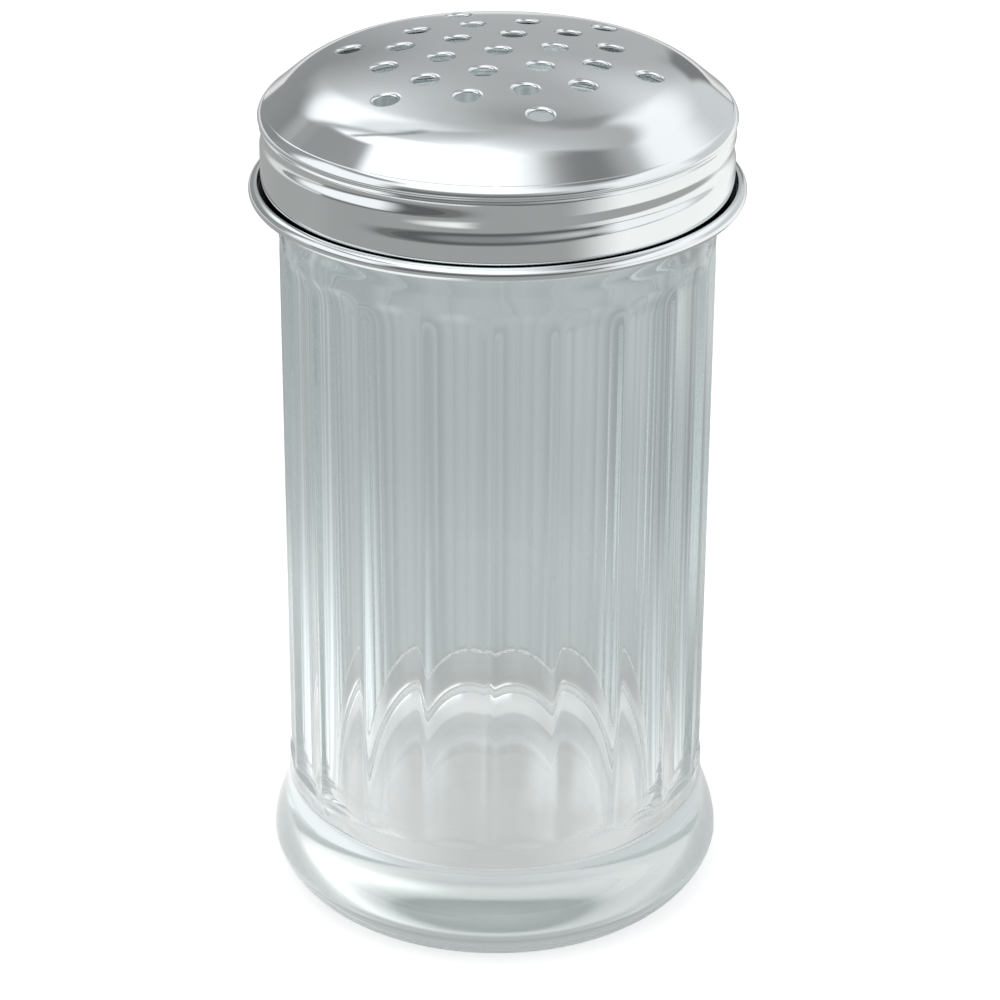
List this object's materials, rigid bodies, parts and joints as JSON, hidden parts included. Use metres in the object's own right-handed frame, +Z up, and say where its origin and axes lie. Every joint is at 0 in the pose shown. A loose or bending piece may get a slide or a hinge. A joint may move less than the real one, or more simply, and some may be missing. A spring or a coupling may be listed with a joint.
{
  "type": "sugar shaker",
  "caption": "Fluted clear glass table shaker for sugar, with a heavy round foot and a screw-on stainless lid whose low dome is punched with round pouring holes.",
  "frame": {"origin": "centre of the ring that the foot stands on, at table height", "axes": "+Z up along the jar's axis, -Y towards the front, +X to the right seen from the front"},
  "size_m": [0.0794, 0.0794, 0.146],
  "materials": {
    "clear_glass": "clear moulded soda-lime glass with a faint grey-green tint",
    "seal": "milky translucent soft plastic",
    "polished_steel": "bright polished stainless sheet"
  },
  "bodies": {
    "jar": {"glass_jar": "clear_glass"},
    "seal": {"seal_ring": "seal"},
    "lid": {"shaker_lid": "polished_steel"}
  },
  "joints": [
    {"name": "lid_rise", "type": "slide", "parent": "jar", "child": "seal", "axis": [0, 0, 1], "range_m": [0, 0.0147]},
    {"name": "lid_turn", "type": "hinge", "parent": "seal", "child": "lid", "pos_m": [0, 0, 0.13], "axis": [0, 0, 1], "range_deg": [0, 1280]}
  ],
  "couplings": [
    {"joint": "lid_rise", "follows": "lid_turn", "m_per_rad": 0.00065253}
  ]
}
